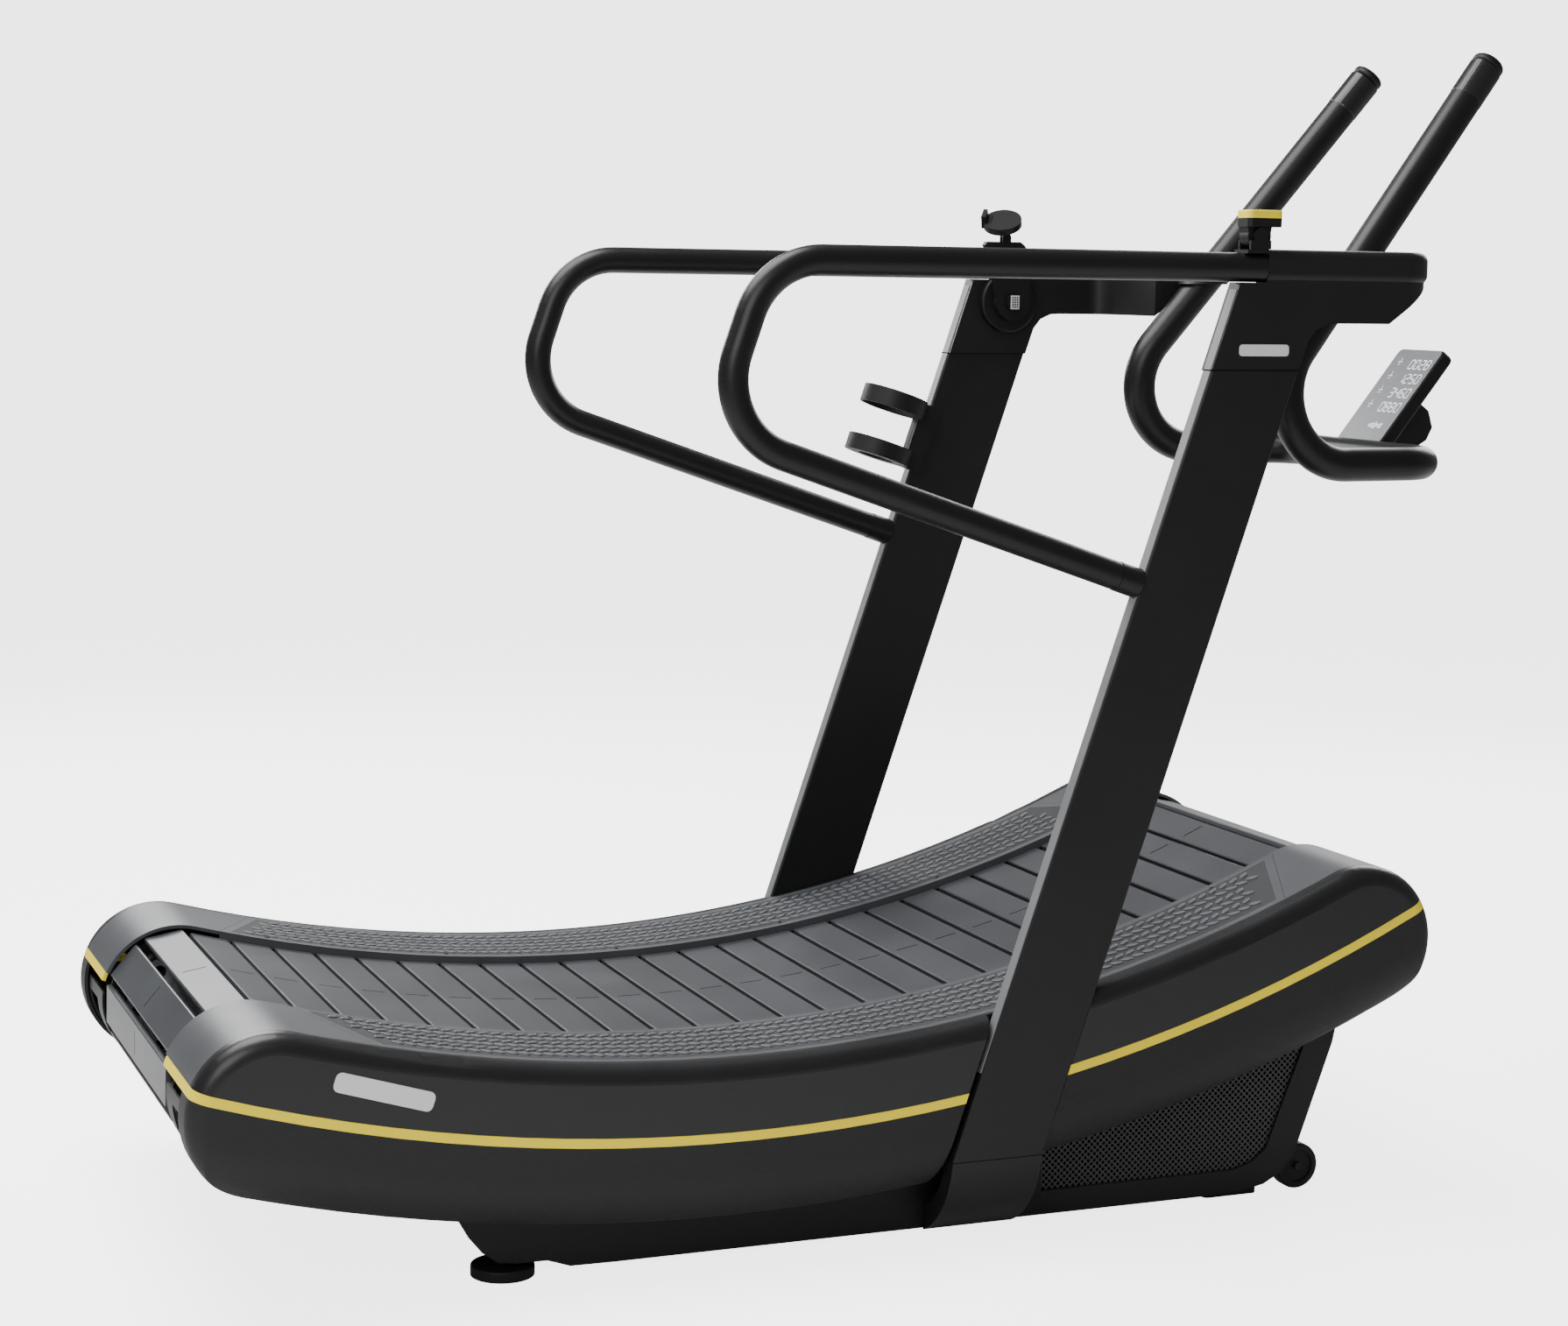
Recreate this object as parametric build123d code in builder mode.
"""Curved manual treadmill: slat belt on a curved deck, uprights, handrails, push bar and display.

X runs forward, Y to the runner's left, Z up. The floor is Z = 0. Millimetres.
Right-hand parts are drawn at negative Y; left-hand ones are their mirror images.
"""

import os
from math import acos, asin, cos, pi, radians, sin, tan

from build123d import *

# ---- driving dimensions ----
BX = -286.55           # X of the lowest point of the running surface
ARC_Z = 2534.0         # height of the centre of the running arc
BELT_R = 2250.0        # radius of the running surface
ROLL_R = 100.0         # outside radius of the belt on a roller
PATH_R = BELT_R + ROLL_R
REAR_DX = -627.0       # roller centres, ahead of BX
FRONT_DX = 955.0
REAR_A = asin(REAR_DX / PATH_R)
FRONT_A = asin(FRONT_DX / PATH_R)

SLAT_COUNT = 60
SLAT_T = 15.0
SLAT_W = 56.0
SLAT_HALF = 236.0
BAND_T = 5.0

RAIL_IN = 238.0        # inner edge of the foot rails
RAIL_OUT = 405.0       # outer edge of the foot rails
COVER_Y = 438.0        # outer face of the side covers
RECESS_Y = 378.0       # outer edge of the recess in the rear end
COVER_R = 110.0        # cover outline around the roller path
WALL = 5.0
STRIPE_IN = 2334.5
STRIPE_OUT = 2347.5

UP_IN = 414.0          # inner and outer faces of the uprights
UP_OUT = 440.0
UP_REAR = 303.0        # rear edge of the upright at UP_FOOT
UP_WIDE = 136.0
UP_FOOT = 127.0
UP_TOP = 1205.0
UP_LEAN = 0.336

ARM_FRONT = 1028.0      # front of the console arms
RAIL_Y = 426.0         # handrails
RAIL_Z = 1345.0
HINGE_Z = 1392.0        # hinge of the phone clamp's plate
CAP_Z = 1412.0          # parting line of the lever's head and cap
RAIL_R = 20.0
PUSH_R = 25.0          # push bar
FLY = (720.0, 196.0)   # flywheel axle
FLY_R = 110.0
SMALL_PULLEY = 25.0
BIG_PULLEY = 75.0


def arc_point(r, a):
    """Point at radius r from the running arc's centre, a radians ahead of the lowest point."""
    return (BX + r * sin(a), ARC_Z - r * cos(a))


def ang(dx):
    """Angle of the radius that meets the roller path dx ahead of its lowest point."""
    return asin(dx / PATH_R)


def at(*pairs):
    """Shift (dx, z) pairs into the shared frame."""
    return [(BX + p[0], p[1]) for p in pairs]


def slot_outline(r, mode=Mode.ADD):
    """Closed outline at distance r all round the line between the roller centres."""
    top = PATH_R - r
    low = PATH_R + r
    fc = arc_point(PATH_R, FRONT_A)
    rc = arc_point(PATH_R, REAR_A)
    nose = (fc[0] + r * cos(FRONT_A), fc[1] + r * sin(FRONT_A))
    tail = (rc[0] - r * cos(REAR_A), rc[1] - r * sin(REAR_A))
    with BuildLine() as outline:
        ThreePointArc(arc_point(top, REAR_A), arc_point(top, 0.05), arc_point(top, FRONT_A))
        ThreePointArc(arc_point(top, FRONT_A), nose, arc_point(low, FRONT_A))
        ThreePointArc(arc_point(low, FRONT_A), arc_point(low, 0.05), arc_point(low, REAR_A))
        ThreePointArc(arc_point(low, REAR_A), tail, arc_point(top, REAR_A))
    make_face(outline.edges(), mode=mode)


def ring_sector(r_in, r_out, a0, a1, mode=Mode.ADD):
    """Band between two radii of the running arc."""
    mid = (a0 + a1) / 2
    with BuildLine() as outline:
        ThreePointArc(arc_point(r_in, a0), arc_point(r_in, mid), arc_point(r_in, a1))
        Line(arc_point(r_in, a1), arc_point(r_out, a1))
        ThreePointArc(arc_point(r_out, a1), arc_point(r_out, mid), arc_point(r_out, a0))
        Line(arc_point(r_out, a0), arc_point(r_in, a0))
    make_face(outline.edges(), mode=mode)


def polygon(points, mode=Mode.ADD):
    """Filled polygon through the points."""
    with BuildLine() as outline:
        Polyline(*points, close=True)
    make_face(outline.edges(), mode=mode)


def side_plane(y):
    """Upright plane at distance y to the right of the middle."""
    return Plane.XZ.offset(y)


def prism(points, y0, y1, mode=Mode.ADD):
    """Side-view polygon between two distances from the middle."""
    with BuildSketch(side_plane(y0)) as shape:
        polygon(points)
    extrude(shape.sketch, amount=y1 - y0, mode=mode)


def slab(dx0, dx1, y0, y1, z0, z1, mode=Mode.ADD):
    """Box on the right-hand side."""
    prism(at((dx0, z0), (dx1, z0), (dx1, z1), (dx0, z1)), y0, y1, mode)


def round_bar(dx, z, r, y0, y1, mode=Mode.ADD):
    """Cylinder along Y on the right-hand side; y may be negative for the left."""
    with BuildSketch(side_plane(y0)) as shape:
        with Locations((BX + dx, z)):
            Circle(r)
    extrude(shape.sketch, amount=y1 - y0, mode=mode)


def plan_keep(points, z0=0.0, z1=900.0):
    """Keep only what lies over a plan polygon of (dx, distance from the middle)."""
    with BuildSketch(Plane.XY.offset(z0)) as shape:
        polygon([(BX + p[0], -p[1]) for p in points])
    extrude(shape.sketch, amount=z1 - z0, mode=Mode.INTERSECT)


def ring_keep(r_in, r_out, y0, y1):
    """Keep only what lies between two radii of the running arc."""
    with BuildSketch(side_plane(y0)) as shape:
        with Locations((BX, ARC_Z)):
            Circle(r_out)
            if r_in > 0:
                Circle(r_in, mode=Mode.SUBTRACT)
    extrude(shape.sketch, amount=y1 - y0, mode=Mode.INTERSECT)


def tube_path(points, bends):
    """Straight runs through the points, rounded at each inner point."""
    pts = [Vector(*p) for p in points]
    start = pts[0]
    for i in range(1, len(pts) - 1):
        back = (pts[i - 1] - pts[i]).normalized()
        fore = (pts[i + 1] - pts[i]).normalized()
        half = acos(max(-1.0, min(1.0, back.dot(fore)))) / 2
        reach = bends[i - 1] / tan(half)
        p1 = pts[i] + back * reach
        p2 = pts[i] + fore * reach
        middle = (back + fore).normalized()
        crown = pts[i] + middle * (bends[i - 1] / sin(half) - bends[i - 1])
        Line(start, p1)
        ThreePointArc(p1, crown, p2)
        start = p2
    Line(start, pts[-1])


def save(part, name):
    """Write one node."""
    part.label = name
    export_step(part, "parts/" + name + ".step")


def save_pair(part, name):
    """Write a right-hand node and its left-hand mirror image."""
    save(part, name + "_right")
    save(mirror(part, about=Plane.XZ), name + "_left")


def save_both(part, name):
    """Write the right-hand and left-hand pieces as one node."""
    save(Compound(children=list(part.solids()) + list(mirror(part, about=Plane.XZ).solids())), name)


# ---- slat belt ----
def path_places():
    """Places of the slats round the closed loop, as (x, z, angle of travel in degrees)."""
    mid = ROLL_R - SLAT_T / 2
    top = PATH_R - mid
    low = PATH_R + mid
    turn = FRONT_A - REAR_A
    lengths = [top * turn, pi * mid, low * turn, pi * mid]
    step = sum(lengths) / SLAT_COUNT
    places = []
    for i in range(SLAT_COUNT):
        s = (i + 0.35) * step
        if s < lengths[0]:
            a = REAR_A + s / top
            x, z = arc_point(top, a)
            places.append((x, z, a))
            continue
        s -= lengths[0]
        if s < lengths[1]:
            b = s / mid
            cx, cz = arc_point(PATH_R, FRONT_A)
            n = FRONT_A + pi / 2 - b
            places.append((cx + mid * cos(n), cz + mid * sin(n), FRONT_A - b))
            continue
        s -= lengths[1]
        if s < lengths[2]:
            a = FRONT_A - s / low
            x, z = arc_point(low, a)
            places.append((x, z, a - pi))
            continue
        s -= lengths[2]
        b = s / mid
        cx, cz = arc_point(PATH_R, REAR_A)
        n = REAR_A - pi / 2 - b
        places.append((cx + mid * cos(n), cz + mid * sin(n), REAR_A - pi - b))
    return places


def one_slat():
    """One slat lying flat: a ribbed plate with a short groove across its middle."""
    half = SLAT_W / 2
    with BuildPart() as slat:
        with BuildSketch(side_plane(-SLAT_HALF)):
            with BuildLine():
                Polyline(
                    (-half, 0.5), (-half, 6.0), (-half + 1.5, 7.5), (half - 1.5, 7.5), (half, 6.0),
                    (half, 0.5), (20.5, 0.5), (20.5, -7.5), (15.5, -7.5), (15.5, 0.5),
                    (-15.5, 0.5), (-15.5, -7.5), (-20.5, -7.5), (-20.5, 0.5), close=True,
                )
            make_face()
        extrude(amount=2 * SLAT_HALF)
        with BuildSketch(Plane.XY.offset(7.5)):
            Rectangle(34, 3)
        extrude(amount=-1.0, mode=Mode.SUBTRACT)
    return slat.part


def make_belt():
    """All slats, and the two endless bands that carry them."""
    slat = one_slat()
    spots = [Location((x, 0, z), (0, -a * 180 / pi, 0)) for x, z, a in path_places()]
    save(Compound(children=[slat.moved(spot) for spot in spots]), "belt_slats")
    outer = ROLL_R - SLAT_T - 0.3
    with BuildPart() as band:
        with BuildSketch(side_plane(196)):
            slot_outline(outer)
            slot_outline(outer - BAND_T, mode=Mode.SUBTRACT)
        extrude(amount=20)
    save_both(band.part, "belt_bands")


def make_rollers():
    """Front and rear rollers: shaft, middle tube and two rims; the front one drives the flywheel."""
    rim = ROLL_R - SLAT_T - 0.3 - BAND_T - 0.4
    fz = arc_point(PATH_R, FRONT_A)[1]
    rz = arc_point(PATH_R, REAR_A)[1]
    for name, dx, z, reach in (("front_roller", FRONT_DX, fz, 292), ("rear_roller", REAR_DX, rz, 262)):
        with BuildPart() as roller:
            round_bar(dx, z, 45, -222, 222)
            for y0 in (-220, 192):
                round_bar(dx, z, rim, y0, y0 + 28)
            for y0 in (-228, 214):
                round_bar(dx, z, 60, y0, y0 + 14, mode=Mode.SUBTRACT)
            round_bar(dx, z, 15, -reach, reach if name == "rear_roller" else 262)
            for k in range(6):
                with BuildSketch(side_plane(-222)):
                    with Locations((BX + dx, z)):
                        with PolarLocations(62, 1, start_angle=60 * k):
                            Circle(9)
                extrude(amount=444, mode=Mode.SUBTRACT)
        save(roller.part, name)
    with BuildPart() as pulley:
        round_bar(FRONT_DX, fz, BIG_PULLEY, -286, -268)
        round_bar(FRONT_DX, fz, BIG_PULLEY + 4, -288, -286)
        round_bar(FRONT_DX, fz, BIG_PULLEY + 4, -268, -266)
        round_bar(FRONT_DX, fz, 15.0, -292, -260, mode=Mode.SUBTRACT)
    save(pulley.part, "drive_pulley")


def make_flywheel():
    """Flywheel on its axle, the belt that turns it and the magnet carriage beside it."""
    fx, z = FLY
    with BuildPart() as wheel:
        round_bar(fx, z, FLY_R, -316, -292)
        round_bar(fx, z, FLY_R - 22, -317, -310, mode=Mode.SUBTRACT)
        round_bar(fx, z, FLY_R - 22, -298, -291, mode=Mode.SUBTRACT)
        round_bar(fx, z, 32, -316, -291)
        round_bar(fx, z, SMALL_PULLEY, -288, -266)
        round_bar(fx, z, 10, -330, -238)
    save(wheel.part, "flywheel")
    big = arc_point(PATH_R, FRONT_A)
    with BuildPart() as belt:
        with BuildSketch(side_plane(-285)):
            for grow, how in ((3.4, Mode.ADD), (0.4, Mode.SUBTRACT)):
                dx = big[0] - (BX + fx)
                dz = big[1] - z
                span = (dx * dx + dz * dz) ** 0.5
                r1 = BIG_PULLEY + grow
                r2 = SMALL_PULLEY + grow
                base = Vector(dx, dz).normalized()
                lean = acos((r1 - r2) / span)
                up = base.rotate(Axis.Z, 180 - lean * 180 / pi)
                down = base.rotate(Axis.Z, 180 + lean * 180 / pi)
                with BuildLine():
                    a = Vector(*big) + up * r1
                    b = Vector(BX + fx, z) + up * r2
                    c = Vector(BX + fx, z) + down * r2
                    d = Vector(*big) + down * r1
                    Line(a, b)
                    ThreePointArc(b, Vector(BX + fx, z) - base * r2, c)
                    Line(c, d)
                    ThreePointArc(d, Vector(*big) + base * r1, a)
                make_face(mode=how)
        extrude(amount=16)
    save(belt.part, "drive_belt")
    px, pz = fx - 150, z + 70
    with BuildPart() as carriage:
        with BuildSketch(side_plane(-322)):
            with Locations((BX + fx, z)):
                Circle(FLY_R + 26)
                Circle(FLY_R + 14, mode=Mode.SUBTRACT)
            with Locations((BX + fx - 92, z + 92)):
                Rectangle(120, 120, mode=Mode.INTERSECT)
        extrude(amount=36)
        prism(at((px - 8, pz - 8), (px + 8, pz - 14), (fx - 112, z + 52), (fx - 104, z + 84)), -306, -296)
        round_bar(px, pz, 14, -310, -290)
        round_bar(px, pz, 6.05, -312, -288, mode=Mode.SUBTRACT)
    save(carriage.part, "magnet_carriage")


# ---- frame inside the covers ----
def make_frame():
    """Side plates, floor rails, cross beams, deck tubes, guide rails, bearings and brackets."""
    fc = arc_point(PATH_R, FRONT_A)
    rc = arc_point(PATH_R, REAR_A)
    px, pz = FLY[0] - 150, FLY[1] + 70
    with BuildPart() as plate:
        with BuildSketch(side_plane(250)):
            slot_outline(94)
            polygon(at((-330, 60), (850, 60), (905, 330), (-380, 240)))
            ring_sector(2150, 2256, REAR_A, FRONT_A, mode=Mode.SUBTRACT)
            for c in (fc, rc):
                with Locations(c):
                    Circle(20, mode=Mode.SUBTRACT)
            with Locations((BX + FLY[0], FLY[1])):
                Circle(14, mode=Mode.SUBTRACT)
            for dx in (-120, 60, 240, 560):
                with Locations((BX + dx, arc_point(PATH_R + 45, ang(dx))[1])):
                    SlotOverall(130, 60, mode=Mode.SUBTRACT)
        extrude(amount=5)
    save_both(plate.part, "side_plates")
    with BuildPart() as rail:
        prism(at((-314, 24), (-306, 20), (868, 20), (868, 60), (-330, 60), (-330, 42)), 298, 336)
        slab(-322, 865, 301, 333, 27, 57, mode=Mode.SUBTRACT)
        with BuildSketch(Plane.XY.offset(10)):
            with Locations((BX - 298, -318)):
                Circle(8.05)
        extrude(amount=60, mode=Mode.SUBTRACT)
    save_both(rail.part, "floor_rails")
    with BuildPart() as beams:
        for dx in (-250, 110, 470, 800):
            slab(dx - 30, dx + 30, -298, 298, 20, 60)
            slab(dx - 27, dx + 27, -298, 298, 23, 57, mode=Mode.SUBTRACT)
    save(beams.part, "cross_beams")
    tubes = (-450, -150, 150, 450, 750)
    with BuildPart() as deck:
        for dx in tubes:
            x, z = arc_point(PATH_R, ang(dx))
            round_bar(x - BX, z, 20, -250, 250)
            round_bar(x - BX, z, 17, -250, 250, mode=Mode.SUBTRACT)
    save(deck.part, "deck_tubes")
    with BuildPart() as guide:
        with BuildSketch(side_plane(214)):
            ring_sector(2273, 2338, ang(-542), ang(878))
            for dx in tubes:
                with Locations(arc_point(PATH_R, ang(dx))):
                    Circle(20, mode=Mode.SUBTRACT)
        extrude(amount=5)
    save_both(guide.part, "guide_rails")
    inner = BELT_R + SLAT_T + 0.3 + BAND_T
    with BuildPart() as bearings:
        for i in range(17):
            x, z = arc_point(inner + 18.2, ang(-545) + i * (ang(865) - ang(-545)) / 16)
            round_bar(x - BX, z, 18, 199, 212)
            round_bar(x - BX, z, 12, 199, 201, mode=Mode.SUBTRACT)
            round_bar(x - BX, z, 6, 197.5, 214)
    save_both(bearings.part, "guide_bearings")
    with BuildPart() as blocks:
        for c in (fc, rc):
            round_bar(c[0] - BX, c[1], 38, 239, 250)
            round_bar(c[0] - BX, c[1], 15.05, 238, 251, mode=Mode.SUBTRACT)
    save_both(blocks.part, "roller_bearings")
    with BuildPart() as bracket:
        slab(340, 430, 255, 414, 150, 158)
        slab(352, 442, 255, 414, 232, 240)
        slab(386, 394, 255, 414, 158, 232)
    save_both(bracket.part, "upright_brackets")
    with BuildPart() as carrier:
        round_bar(px, pz, 6, -316, -255)
        round_bar(px, pz, 12, -288, -255)
        round_bar(px, pz, 11, -316, -312)
        slab(FLY[0] - 22, FLY[0] + 22, -334, -322, 60, FLY[1] + 30)
        round_bar(FLY[0], FLY[1], 10.05, -340, -316, mode=Mode.SUBTRACT)
        round_bar(FLY[0], FLY[1], 30, -250, -240)
        round_bar(FLY[0], FLY[1], 10.05, -252, -238, mode=Mode.SUBTRACT)
    save(carrier.part, "flywheel_mounts")


# ---- covers and foot rails ----
def cover_core(r, y_out, edge, low_r):
    """Solid of the side housing, rounded outside and drawn in towards the bottom."""
    with BuildPart() as core:
        with BuildSketch(side_plane(RAIL_IN)):
            slot_outline(r)
        extrude(amount=y_out - RAIL_IN)
        fillet(core.faces().sort_by(Axis.Y)[0].edges(), radius=edge)
        start = PATH_R + 44.0
        centre = y_out - low_r
        with BuildSketch(Plane.YZ.offset(BX)):
            with BuildLine():
                tip = (-(centre + low_r * cos(radians(62))), ARC_Z - start - low_r * sin(radians(62)))
                mid = (-(centre + low_r * cos(radians(30))), ARC_Z - start - low_r * sin(radians(30)))
                ThreePointArc((-y_out, ARC_Z - start), mid, tip)
                Polyline(tip, (tip[0], tip[1] - 30), (-y_out - 30, tip[1] - 30),
                         (-y_out - 30, ARC_Z - start), (-y_out, ARC_Z - start))
            make_face()
        revolve(axis=Axis((BX, 0, ARC_Z), (0, 1, 0)), revolution_arc=360, mode=Mode.SUBTRACT)
    return core.part


def upright_band(rear, front, z0, z1):
    """Side-view outline of the upright, grown to the rear and to the front."""
    lean0 = UP_LEAN * (z0 - UP_FOOT)
    lean1 = UP_LEAN * (z1 - UP_FOOT)
    return at((UP_REAR + lean0 - rear, z0), (UP_REAR + UP_WIDE + lean0 + front, z0),
              (UP_REAR + UP_WIDE + lean1 + front, z1), (UP_REAR + lean1 - rear, z1))


def make_covers():
    """Side covers, stripes, foot rails, treads and end caps."""
    outer = cover_core(COVER_R, COVER_Y, 25.0, 75.0)
    inner = cover_core(COVER_R - WALL, COVER_Y - WALL, 20.0, 70.0)
    with BuildPart() as shell:
        add(outer)
        add(inner, mode=Mode.SUBTRACT)
    with BuildPart() as upper:
        add(shell.part)
        ring_keep(0, STRIPE_IN - 0.3, RAIL_OUT + 0.3, 460)
        prism(upright_band(9, 0.5, 60, 700), UP_IN - 2, 460, mode=Mode.SUBTRACT)
    save_pair(upper.part, "side_cover_upper")
    with BuildPart() as lower:
        add(shell.part)
        ring_keep(STRIPE_OUT + 0.3, 2500, 246, 460)
        slab(-655, 985, 200, 347, 0, 700, mode=Mode.SUBTRACT)
        slab(-800, -655, 200, RECESS_Y, 0, 700, mode=Mode.SUBTRACT)
        prism(upright_band(9, 0.5, 60, 700), 300, 460, mode=Mode.SUBTRACT)
        slab(UP_REAR - 9, UP_REAR + UP_WIDE + 0.5, 300, 460, 0, UP_FOOT, mode=Mode.SUBTRACT)
    save_pair(lower.part, "side_cover_lower")
    with BuildPart() as stripe:
        add(shell.part)
        ring_keep(STRIPE_IN, STRIPE_OUT, 246, 460)
        prism(upright_band(9, 0.5, 60, 700), 300, 460, mode=Mode.SUBTRACT)
    save_both(stripe.part, "accent_stripes")
    rail_plan = ((-563.6, 238), (-486, RAIL_OUT), (832, RAIL_OUT), (908.6, 238))
    tread_plan = ((-545, 250), (-478, 393), (825, 393), (889, 250))
    with BuildPart() as rail:
        with BuildSketch(side_plane(RAIL_IN)):
            ring_sector(2240, 2253, REAR_A, FRONT_A)
        extrude(amount=RAIL_OUT - RAIL_IN)
        plan_keep(rail_plan)
    with BuildPart() as tread:
        with BuildSketch(side_plane(RAIL_IN)):
            ring_sector(2240, 2242.5, REAR_A, FRONT_A)
        extrude(amount=RAIL_OUT - RAIL_IN)
        plan_keep(tread_plan)
    with BuildPart() as foot_rail:
        add(rail.part)
        add(tread.part, mode=Mode.SUBTRACT)
    save_pair(foot_rail.part, "foot_rail")
    save_both(tread.part, "tread_inserts")
    ends = (
        ("rear_end_caps", ((-800, 238), (-564.2, 238), (-486.6, RAIL_OUT), (-800, RAIL_OUT))),
        ("front_end_caps", ((909.2, 238), (1200, 238), (1200, RAIL_OUT), (832.6, RAIL_OUT))),
    )
    for name, plan in ends:
        with BuildPart() as cap:
            add(shell.part)
            ring_keep(0, STRIPE_IN - 0.3, RAIL_IN, RAIL_OUT)
            plan_keep(plan)
        save_both(cap.part, name)
    with BuildPart() as hood:
        with BuildSketch(side_plane(-237)):
            slot_outline(COVER_R)
            slot_outline(COVER_R - 4, mode=Mode.SUBTRACT)
        extrude(amount=474)
        corner = arc_point(PATH_R, FRONT_A)
        far = [(corner[0] + 40, corner[1] + 68), (corner[0] + 200, corner[1] + 68)]
        near = [(corner[0] + 200, corner[1] - 130), (corner[0] + 20, corner[1] - 130)]
        with BuildSketch(side_plane(-240)):
            polygon(far + near)
        extrude(amount=480, mode=Mode.INTERSECT)
    save(hood.part, "front_hood")
    tail = arc_point(PATH_R, REAR_A)
    with BuildPart() as liner:
        with BuildSketch(side_plane(257)):
            slot_outline(103)
            slot_outline(100, mode=Mode.SUBTRACT)
        extrude(amount=RECESS_Y - 1 - 257)
        prism([(tail[0] - 140, tail[1] + 14), (tail[0] - 40, tail[1] + 14), (tail[0] + 10, tail[1] - 110),
               (tail[0] - 140, tail[1] - 110)], 240, 400, mode=Mode.INTERSECT)
        prism([(tail[0] - 140, tail[1] - 4), (tail[0] - 60, tail[1] - 4), (tail[0] - 60, tail[1] - 62),
               (tail[0] - 140, tail[1] - 62)], 300, 366, mode=Mode.SUBTRACT)
    save_both(liner.part, "rear_recess_liners")


def make_base():
    """Skirt panels, grilles, boots, pads, wheels and levelling feet."""
    outline = at((-367, 88), (-352, 62), (-334, 40), (-312, 25), (-288, 20.5), (-244, 20), (-212, 9),
                 (-152, 8), (751, 7), (812, 9), (850, 16), (880, 32), (900, 58), (958, 220), (975, 300),
                 (-420, 160))
    grille = at((478, 34), (800, 34), (834, 44), (860, 64), (926, 236), (906, 250), (757, 197),
                (617, 156), (478, 125))
    hole = at((486, 42), (798, 42), (828, 51), (852, 69), (914, 230), (900, 240), (760, 188),
              (620, 148), (486, 117))
    with BuildPart() as skirt:
        prism(outline, 341, 345)
        with BuildSketch(side_plane(300)):
            with Locations((BX, ARC_Z)):
                Circle(2430)
        extrude(amount=100, mode=Mode.SUBTRACT)
        prism(hole, 340, 346, mode=Mode.SUBTRACT)
    save_both(skirt.part, "base_panels")
    with BuildPart() as mesh:
        prism(grille, 338.5, 340.8)
    save_both(mesh.part, "grilles")
    with BuildPart() as boot:
        with BuildSketch(Plane.YZ.offset(BX + UP_REAR)):
            with BuildLine():
                ThreePointArc((-UP_OUT, UP_FOOT - 1), (-414, 62), (-348, 6))
                Line((-348, 6), (-346, 6))
                Line((-346, 6), (-346, 40))
                ThreePointArc((-346, 40), (-398, 84), (-UP_IN, UP_FOOT - 1))
                Line((-UP_IN, UP_FOOT - 1), (-UP_OUT, UP_FOOT - 1))
            make_face()
        extrude(amount=UP_WIDE)
    save_both(boot.part, "upright_boots")
    with BuildPart() as pad:
        slab(758, 846, 300, 334, 0, 20)
        fillet(pad.edges().filter_by(Axis.Z), radius=8)
    save_both(pad.part, "front_pads")
    with BuildPart() as bracket:
        prism(at((868, 20), (890, 20), (925, 26), (925, 44), (900, 58), (868, 60)), 298, 308)
        round_bar(913, 34, 6, 300, 338)
        round_bar(913, 34, 10, 304, 310)
    save_both(bracket.part, "wheel_brackets")
    with BuildPart() as wheel:
        round_bar(913, 34, 34, 311, 335)
        fillet(wheel.edges().filter_by(GeomType.CIRCLE), radius=4)
        round_bar(913, 34, 24, 332, 336, mode=Mode.SUBTRACT)
        round_bar(913, 34, 6.05, 310, 337, mode=Mode.SUBTRACT)
    save_pair(wheel.part, "transport_wheel")
    with BuildPart() as foot:
        with BuildSketch(Plane.XY):
            with Locations((BX - 298, -318)):
                Circle(43)
        extrude(amount=15)
        fillet(foot.edges().group_by(Axis.Z)[-1], radius=3)
        with BuildSketch(Plane.XY.offset(15)):
            with Locations((BX - 298, -318)):
                RegularPolygon(13, 6)
        extrude(amount=3)
        with BuildSketch(Plane.XY.offset(18)):
            with Locations((BX - 298, -318)):
                Circle(8)
        extrude(amount=58)
    save_pair(foot.part, "levelling_foot")
    with BuildPart() as nut:
        with BuildSketch(Plane.XY.offset(60)):
            with Locations((BX - 298, -318)):
                RegularPolygon(13, 6)
                Circle(8.05, mode=Mode.SUBTRACT)
        extrude(amount=8)
    save_both(nut.part, "foot_locknuts")


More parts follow.
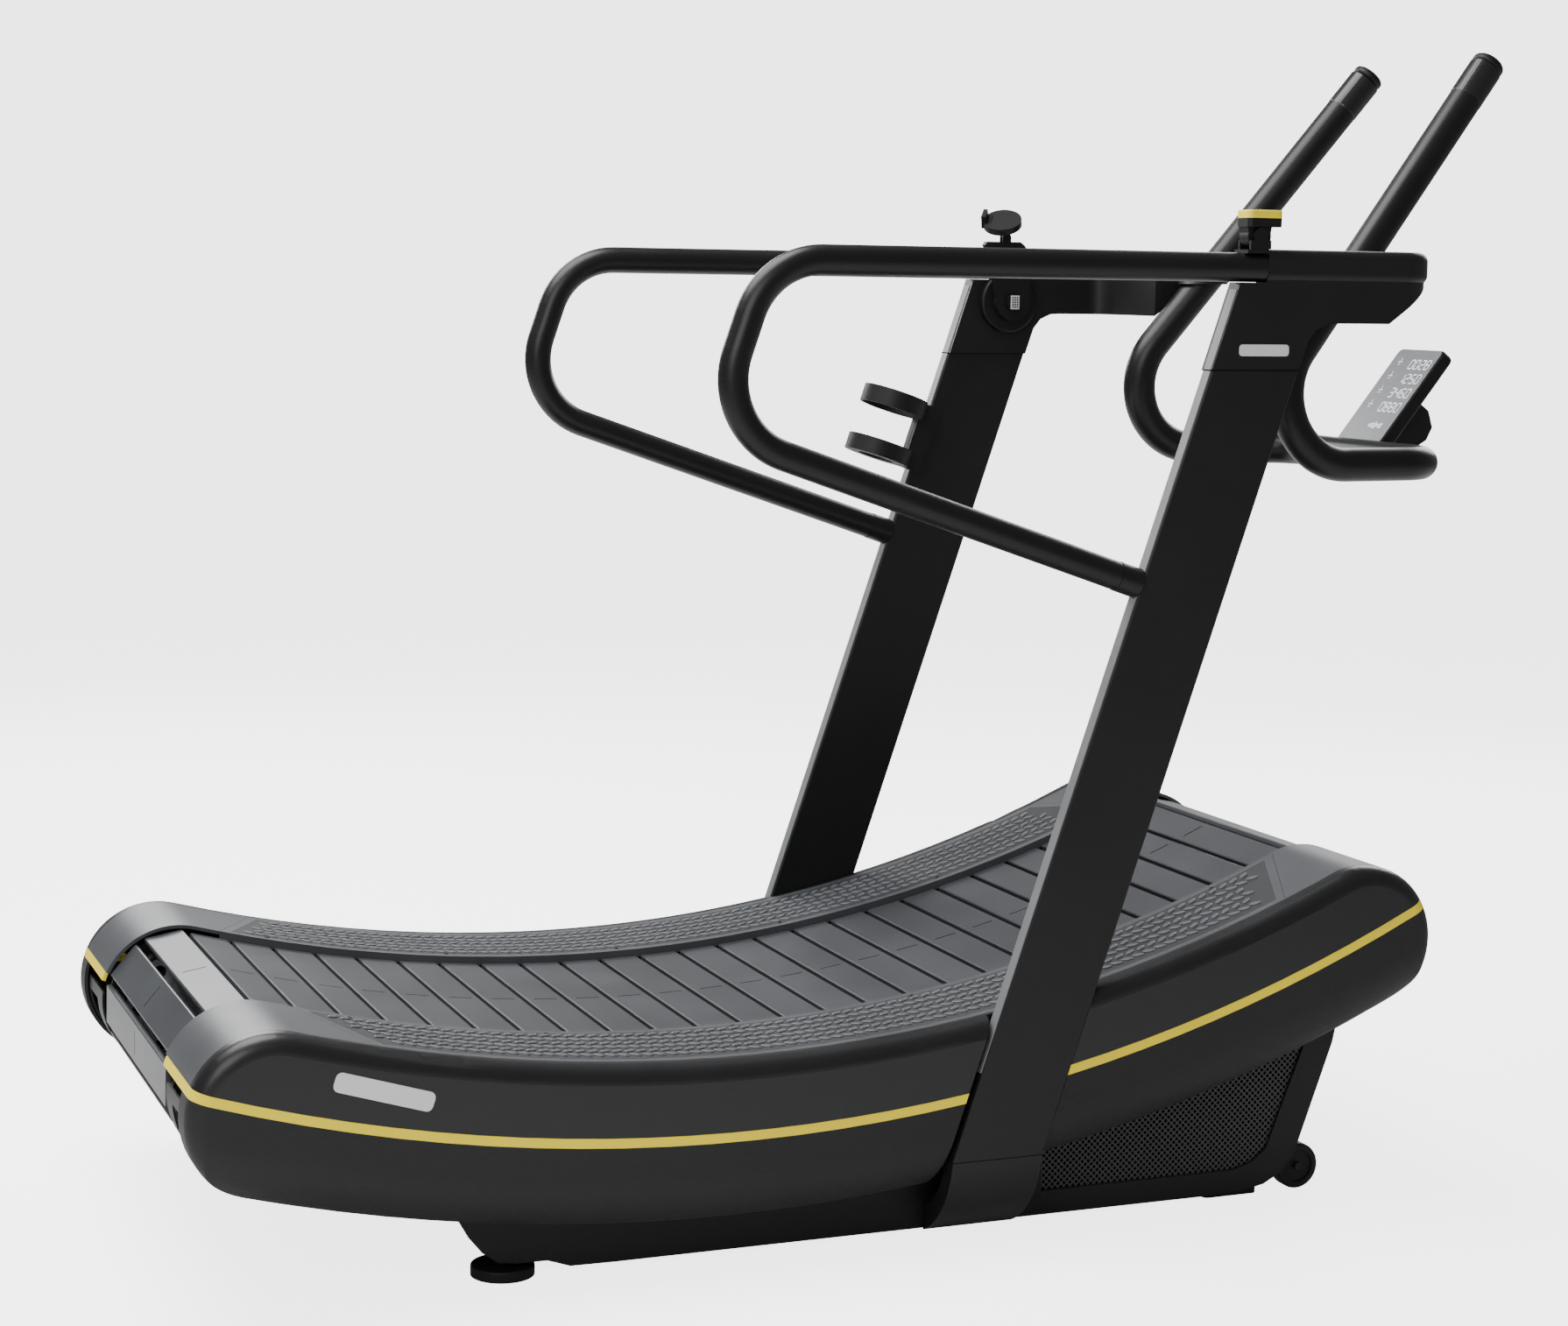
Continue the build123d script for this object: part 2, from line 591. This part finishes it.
# ---- uprights, rails and console ----
def make_uprights():
    """Leaning box-section uprights and the cast arms that cap them."""
    with BuildPart() as upright:
        prism(upright_band(0, 0, UP_FOOT, UP_TOP), UP_IN, UP_OUT)
        fillet(upright.edges().filter_by(lambda e: abs(e.length - 1129) < 12), radius=3)
        prism(upright_band(-5, -5, UP_FOOT, UP_TOP), UP_IN + 4, UP_OUT - 4, mode=Mode.SUBTRACT)
    save_pair(upright.part, "upright")
    rear = UP_REAR + UP_LEAN * (UP_TOP - UP_FOOT)
    foot = UP_TOP + 0.1
    side = at((rear, foot), (rear + UP_WIDE, foot), (rear + UP_WIDE + 14, 1246),
              (rear + UP_WIDE + 26, 1261), (rear + UP_WIDE + 44, 1269), (rear + UP_WIDE + 60, 1270),
              (ARM_FRONT - 84, 1270), (ARM_FRONT - 4, 1328), (ARM_FRONT - 4, 1347), (746, 1347),
              (746, 1324.5), (rear + UP_LEAN * 118, 1324.5))
    reach = ARM_FRONT - 4
    with BuildPart() as arm:
        with BuildSketch(Plane.XY.offset(1200)):
            with BuildLine():
                Polyline((BX + 650, -410), (BX + reach - 110, -410))
                ThreePointArc((BX + reach - 110, -410), (BX + reach - 88.8, -401.2), (BX + reach - 80, -380))
                Polyline((BX + reach - 80, -380), (BX + reach - 80, -236), (BX + reach, -236),
                         (BX + reach, -384))
                ThreePointArc((BX + reach, -384), (BX + reach - 16.4, -423.6), (BX + reach - 56, -UP_OUT))
                Polyline((BX + reach - 56, -UP_OUT), (BX + 650, -UP_OUT), (BX + 650, -410))
            make_face()
        extrude(amount=180)
        with BuildSketch(side_plane(200)):
            polygon(side)
        extrude(amount=260, mode=Mode.INTERSECT)
    with BuildPart() as top:
        with BuildLine() as path:
            tube_path([(BX + 746, -427, 1347.5), (BX + ARM_FRONT - 17, -427, 1347.5),
                       (BX + ARM_FRONT - 17, -234, 1347.5)], (42,))
        with BuildSketch(Plane(origin=(BX + 746, -427, 1347.5), x_dir=(0, 1, 0), z_dir=(1, 0, 0))):
            RectangleRounded(34, 45, 13)
        sweep(path=path.line)
        add(arm.part)
    return top.part


def make_rails(arm):
    """Handrail loops, the bent push bar with its grips' end caps, and the arm trimmed to the bar."""
    foot_t = (303 + UP_LEAN * (1126 - UP_FOOT) + 55) / (0.9467 + UP_LEAN * 0.3221) - 0.4
    end = (BX - 55 + 0.9467 * foot_t, -RAIL_Y, 1126 - 0.3221 * foot_t)
    with BuildPart() as rail:
        with BuildLine() as path:
            tube_path([(BX + 745, -RAIL_Y, RAIL_Z), (BX + 19, -RAIL_Y, RAIL_Z),
                       (BX - 55, -RAIL_Y, 1126), end], (105, 105))
        with BuildSketch(Plane(origin=(BX + 745, -RAIL_Y, RAIL_Z), z_dir=(-1, 0, 0))):
            Circle(RAIL_R)
            Circle(RAIL_R - 2.5, mode=Mode.SUBTRACT)
        sweep(path=path.line)
    save_pair(rail.part, "handrail")
    along = Vector(0.9467, 0, -0.3221)
    with BuildPart() as sleeve:
        with BuildSketch(Plane(origin=Vector(*end) - along * 34, z_dir=along)):
            Circle(RAIL_R + 0.8)
            Circle(RAIL_R + 0.05, mode=Mode.SUBTRACT)
        extrude(amount=33.5)
    save_both(sleeve.part, "handrail_sleeves")
    tip = (BX + 1273, -165, 1648)
    knee = (BX + 802.5, -240, 1060)
    corner = (BX + 1184, -214, 1060)
    with BuildPart() as bar:
        with BuildLine() as path:
            tube_path([tip, knee, corner, (corner[0], 214, 1060), (knee[0], 240, 1060),
                       (tip[0], 165, 1648)], (103, 66, 66, 103))
        with BuildSketch(Plane(origin=tip, z_dir=(Vector(*knee) - Vector(*tip)).normalized())):
            Circle(PUSH_R)
            Circle(PUSH_R - 3, mode=Mode.SUBTRACT)
        sweep(path=path.line)
    save(bar.part, "push_bar")
    out = (Vector(*tip) - Vector(*knee)).normalized()
    with BuildPart() as plug:
        with BuildSketch(Plane(origin=tip, z_dir=out)):
            Circle(PUSH_R)
        extrude(amount=15)
        fillet(plug.faces().sort_by(Axis.Z)[-1].edges(), radius=7)
    save_both(plug.part, "push_bar_caps")
    with BuildPart() as core:
        with BuildSketch(Plane(origin=Vector(*knee) + out * 200, z_dir=out)):
            Circle(PUSH_R + 0.1)
        extrude(amount=400)
    with BuildPart() as collar:
        with BuildSketch(Plane(origin=Vector(*knee) + out * 300, z_dir=out)):
            Circle(PUSH_R + 6)
        extrude(amount=160)
        add(core.part, mode=Mode.SUBTRACT)
        with BuildSketch(Plane.XY.offset(1322)):
            with Locations((BX + 1000, -250)):
                Rectangle(200, 300)
        extrude(amount=50, mode=Mode.INTERSECT)
    with BuildPart() as trimmed:
        add(arm)
        add(collar.part)
        add(core.part, mode=Mode.SUBTRACT)
    save_pair(trimmed.part, "console_arm")


def make_display():
    """Tilted display with its window, standing on the push bar's cross tube."""
    slope = radians(51.8)
    face = Plane(origin=(BX + 1235.5, 0, 1152.8), x_dir=(0, -1, 0), z_dir=(-sin(slope), 0, cos(slope)))
    with BuildPart() as clear:
        round_bar(1184, 1060, PUSH_R + 0.1, -90, 90)
    with BuildPart() as body:
        with BuildSketch(face):
            RectangleRounded(125, 188, 12)
        extrude(amount=-24)
        fillet(body.faces().sort_by(Axis.X)[-1].edges(), radius=6)
        with BuildSketch(face):
            RectangleRounded(120, 183, 9)
        extrude(amount=-2, mode=Mode.SUBTRACT)
        add(clear.part, mode=Mode.SUBTRACT)
    save(body.part, "display_housing")
    with BuildPart() as window:
        with BuildSketch(face.offset(-2)):
            RectangleRounded(119.6, 182.6, 8.8)
        extrude(amount=1.8)
        add(clear.part, mode=Mode.SUBTRACT)
    save(window.part, "display_window")
    with BuildPart() as foot:
        with BuildSketch(Plane.XZ):
            polygon(at((1172, 1060), (1200, 1034), (1214, 1040), (1290, 1084), (1300, 1104), (1292, 1130),
                       (1262, 1152), (1196, 1068)))
        extrude(amount=26, both=True)
        fillet(foot.edges().filter_by(Axis.Y), radius=3)
        add(body.part, mode=Mode.SUBTRACT)
        with BuildSketch(Plane.XZ):
            with Locations((BX + 1184, 1060)):
                Circle(PUSH_R + 0.05)
        extrude(amount=40, both=True, mode=Mode.SUBTRACT)
    save(foot.part.solids().sort_by(SortBy.VOLUME)[-1], "display_bracket")


def make_lever():
    """Resistance lever on the right-hand arm, pivoting between two cheeks."""
    dx, z = 733.0, 1388.0
    y0, y1 = RAIL_Y - 12, RAIL_Y + 12
    with BuildPart() as base:
        slab(712, 756, RAIL_Y - 18, RAIL_Y + 18, 1364, 1369.2)
        for a, b in ((RAIL_Y - 17, RAIL_Y - 12.6), (RAIL_Y + 12.6, RAIL_Y + 17)):
            round_bar(dx, z, 11, a, b)
            slab(dx - 16, dx + 16, a, b, 1368, z - 6)
        round_bar(dx, z, 4, RAIL_Y - 14, RAIL_Y + 14)
        with BuildSketch(Plane.YZ.offset(BX + 700)):
            with Locations((-RAIL_Y, RAIL_Z)):
                Circle(RAIL_R + 0.02)
        extrude(amount=45.5, mode=Mode.SUBTRACT)
        slab(745.5, 760, RAIL_Y - 40, RAIL_Y + 40, 1350, 1370, mode=Mode.SUBTRACT)
    save(base.part, "lever_base")
    with BuildPart() as lever:
        round_bar(dx, z, 18, y0, y1)
        prism(at((dx - 17, z), (dx + 17, z), (dx + 19, 1401), (dx - 19, 1401)), y0, y1)
        slab(dx - 20, dx + 33, RAIL_Y - 19, RAIL_Y + 19, 1400, CAP_Z)
        fillet(lever.edges().filter_by(Axis.Z), radius=7)
        round_bar(dx, z, 4.05, y0 - 1, y1 + 1, mode=Mode.SUBTRACT)
    save(lever.part, "resistance_lever")
    with BuildPart() as cap:
        slab(dx - 20, dx + 33, RAIL_Y - 19, RAIL_Y + 19, CAP_Z, 1423)
        fillet(cap.edges().filter_by(Axis.Z), radius=7)
        fillet(cap.faces().sort_by(Axis.Z)[-1].edges(), radius=2.5)
    save(cap.part, "lever_cap")


def make_holders():
    """Phone clamp on the left arm and bottle cage on the left upright."""
    cx, cz = 765.0, 1288.0
    with BuildPart() as disc:
        round_bar(cx, cz, 49, -410, -398)
        fillet(disc.faces().sort_by(Axis.Y)[0].edges(), radius=4)
        round_bar(cx, cz, 7, -410, -379)
        round_bar(cx, cz, 14, -383, -379)
    save(disc.part, "phone_base")
    with BuildPart() as stalk:
        prism(at((cx - 28, cz), (724, 1362), (712, 1379), (716, 1385), (776, 1385), (784, 1379),
                 (794, 1360), (cx + 30, cz)), -397, -385)
        round_bar(cx, cz, 30, -397, -385)
        round_bar(cx, cz, 7.05, -400, -380, mode=Mode.SUBTRACT)
        for a, b in ((-397, -393.6), (-388.4, -385)):
            round_bar(cx - 14, HINGE_Z, 7.5, a, b)
            slab(cx - 21.5, cx - 6.5, a, b, 1383, HINGE_Z)
        round_bar(cx - 14, HINGE_Z, 2.5, -397, -385)
    save(stalk.part, "phone_arm")
    out = Vector(-0.3, -0.45, 0.84).normalized()
    rim = Vector(-0.8, 0.6, 0.0357)
    tilt = Plane(origin=(BX + cx - 20, 390, 1411), x_dir=rim.cross(out), z_dir=out)
    with BuildPart() as head:
        with BuildSketch(tilt):
            Circle(31)
            with Locations((0, 25)):
                Rectangle(24.4, 16, mode=Mode.SUBTRACT)
        extrude(amount=11)
        with BuildSketch(side_plane(-393.3)):
            polygon(at((cx - 18, HINGE_Z), (cx - 10, HINGE_Z), (cx - 8, 1418), (cx - 26, 1412)))
        extrude(amount=4.6)
        round_bar(cx - 14, HINGE_Z, 4.6, -393.3, -388.7)
        round_bar(cx - 14, HINGE_Z, 2.55, -394, -388, mode=Mode.SUBTRACT)
    save(head.part, "phone_plate")
    with BuildPart() as tab:
        with BuildSketch(tilt.offset(0.4)):
            with Locations((0, 25.4)):
                Rectangle(23.6, 15)
        extrude(amount=10)
        with BuildSketch(tilt.offset(10.4)):
            with Locations((0, 29)):
                Rectangle(23.6, 7)
        extrude(amount=12)
    save(tab.part, "phone_tab")
    lean = Vector(0.3185, 0, 0.9479)
    back = Vector(-0.9479, 0, 0.3185)
    up = Vector(BX + 556, 393.8, 1114)
    low = up - lean * 80
    with BuildPart() as cage:
        for origin, tall in ((up, 28), (low, 26)):
            with BuildSketch(Plane(origin=origin, z_dir=lean)):
                Circle(53)
                Circle(49.5, mode=Mode.SUBTRACT)
            extrude(amount=tall)
        with BuildSketch(Plane(origin=low, z_dir=lean)):
            Circle(51)
            Circle(30, mode=Mode.SUBTRACT)
        extrude(amount=3)
        with BuildSketch(Plane(origin=low - back * 65 + Vector(0, 9, 0), x_dir=(0, 1, 0), z_dir=lean)):
            Rectangle(21.6, 32)
        extrude(amount=108)
        with BuildSketch(Plane(origin=low + lean * 3, z_dir=lean)):
            Circle(49.5)
        extrude(amount=140, mode=Mode.SUBTRACT)
        face = UP_REAR - UP_LEAN * UP_FOOT
        prism(at((face, 0), (face + 200, 0), (face + 200 + UP_LEAN * 1400, 1400), (face + UP_LEAN * 1400, 1400)),
              -440.5, -413.9, mode=Mode.SUBTRACT)
    save(cage.part, "bottle_cage")


def main():
    os.makedirs("parts", exist_ok=True)
    make_belt()
    make_rollers()
    make_flywheel()
    make_frame()
    make_covers()
    make_base()
    arm = make_uprights()
    make_rails(arm)
    make_display()
    make_lever()
    make_holders()


main()
